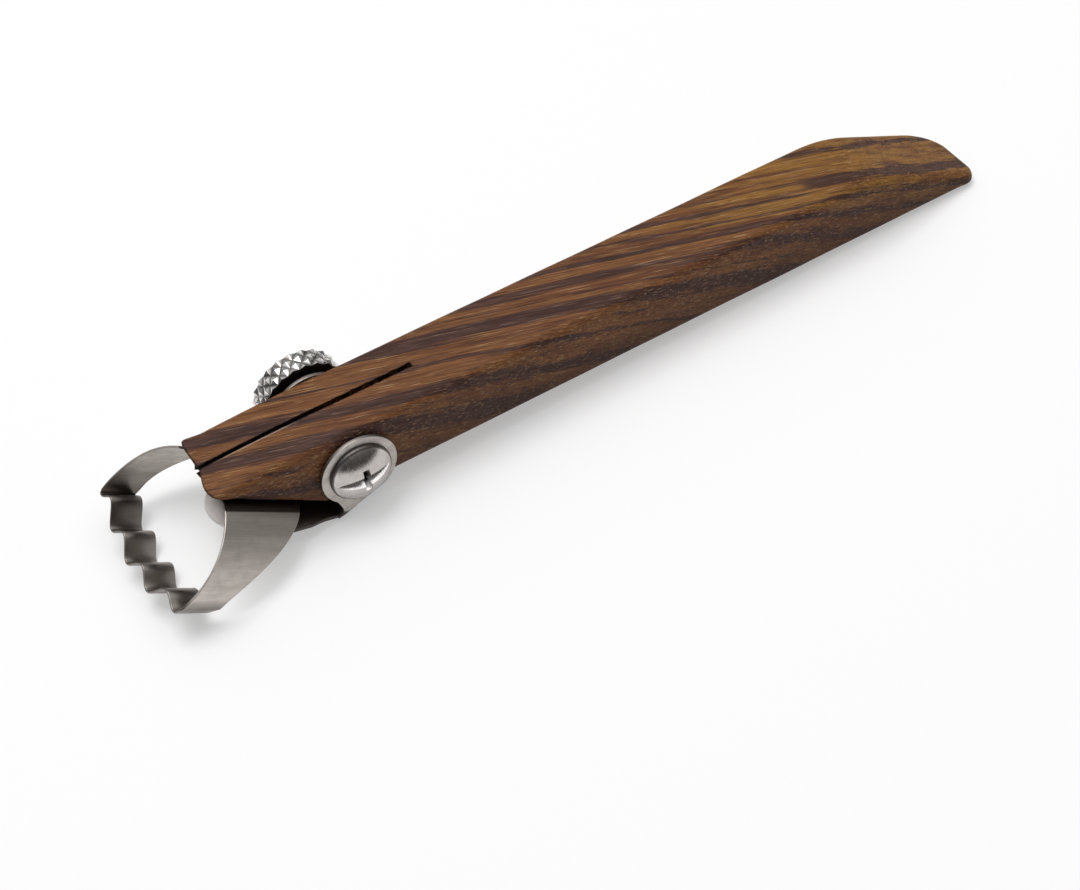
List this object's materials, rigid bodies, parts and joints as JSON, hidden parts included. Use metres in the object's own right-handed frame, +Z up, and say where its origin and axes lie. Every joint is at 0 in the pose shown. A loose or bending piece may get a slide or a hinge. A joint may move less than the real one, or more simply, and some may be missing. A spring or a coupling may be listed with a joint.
{
  "type": "handheld clay extruder",
  "caption": "Wooden-handled pottery tool whose wavy steel loop, clamped under the nose, draws ribbed strips out of a clay block.",
  "frame": {"origin": "middle of the footprint, on the surface that the tool lies on", "axes": "+X from the blade to the tail of the handle, +Y from the screw head to the thumb nut, +Z up"},
  "size_m": [0.2158, 0.0394, 0.023],
  "materials": {
    "striped_wood": "oiled hardwood, dark stripes",
    "spring_steel": "brushed along the strip",
    "sheet_steel": "satin",
    "bright_steel": "polished",
    "knurled_steel": "polished diamond knurl"
  },
  "bodies": {
    "stick": {"handle": "striped_wood"},
    "loop": {"blade": "spring_steel"},
    "clamp": {"saddle": "sheet_steel"},
    "screw": {"clamp_screw": "bright_steel"},
    "spacer": {"washer": "bright_steel"},
    "nut": {"thumb_nut": "knurled_steel"}
  },
  "joints": [
    {"name": "saddle_swing", "type": "hinge", "parent": "stick", "child": "clamp", "pos_m": [-0.05856, 0, 0.01255], "axis": [0, 1, 0], "range_deg": [-22, 10]},
    {"name": "blade_slide", "type": "slide", "parent": "stick", "child": "loop", "axis": [-0.7985, 0, 0.6021], "range_m": [0, 0.03]},
    {"name": "screw_turn", "type": "hinge", "parent": "stick", "child": "screw", "pos_m": [-0.05856, 0, 0.01255], "axis": [0, 1, 0], "continuous": true},
    {"name": "washer_travel", "type": "slide", "parent": "stick", "child": "spacer", "axis": [0, 1, 0], "range_m": [0, 0.002]},
    {"name": "nut_turn", "type": "hinge", "parent": "spacer", "child": "nut", "pos_m": [-0.05856, 0, 0.01255], "axis": [0, 1, 0], "range_deg": [0, 720]}
  ],
  "couplings": [
    {"joint": "nut_turn", "follows": "washer_travel", "rad_per_m": 6283.2}
  ]
}
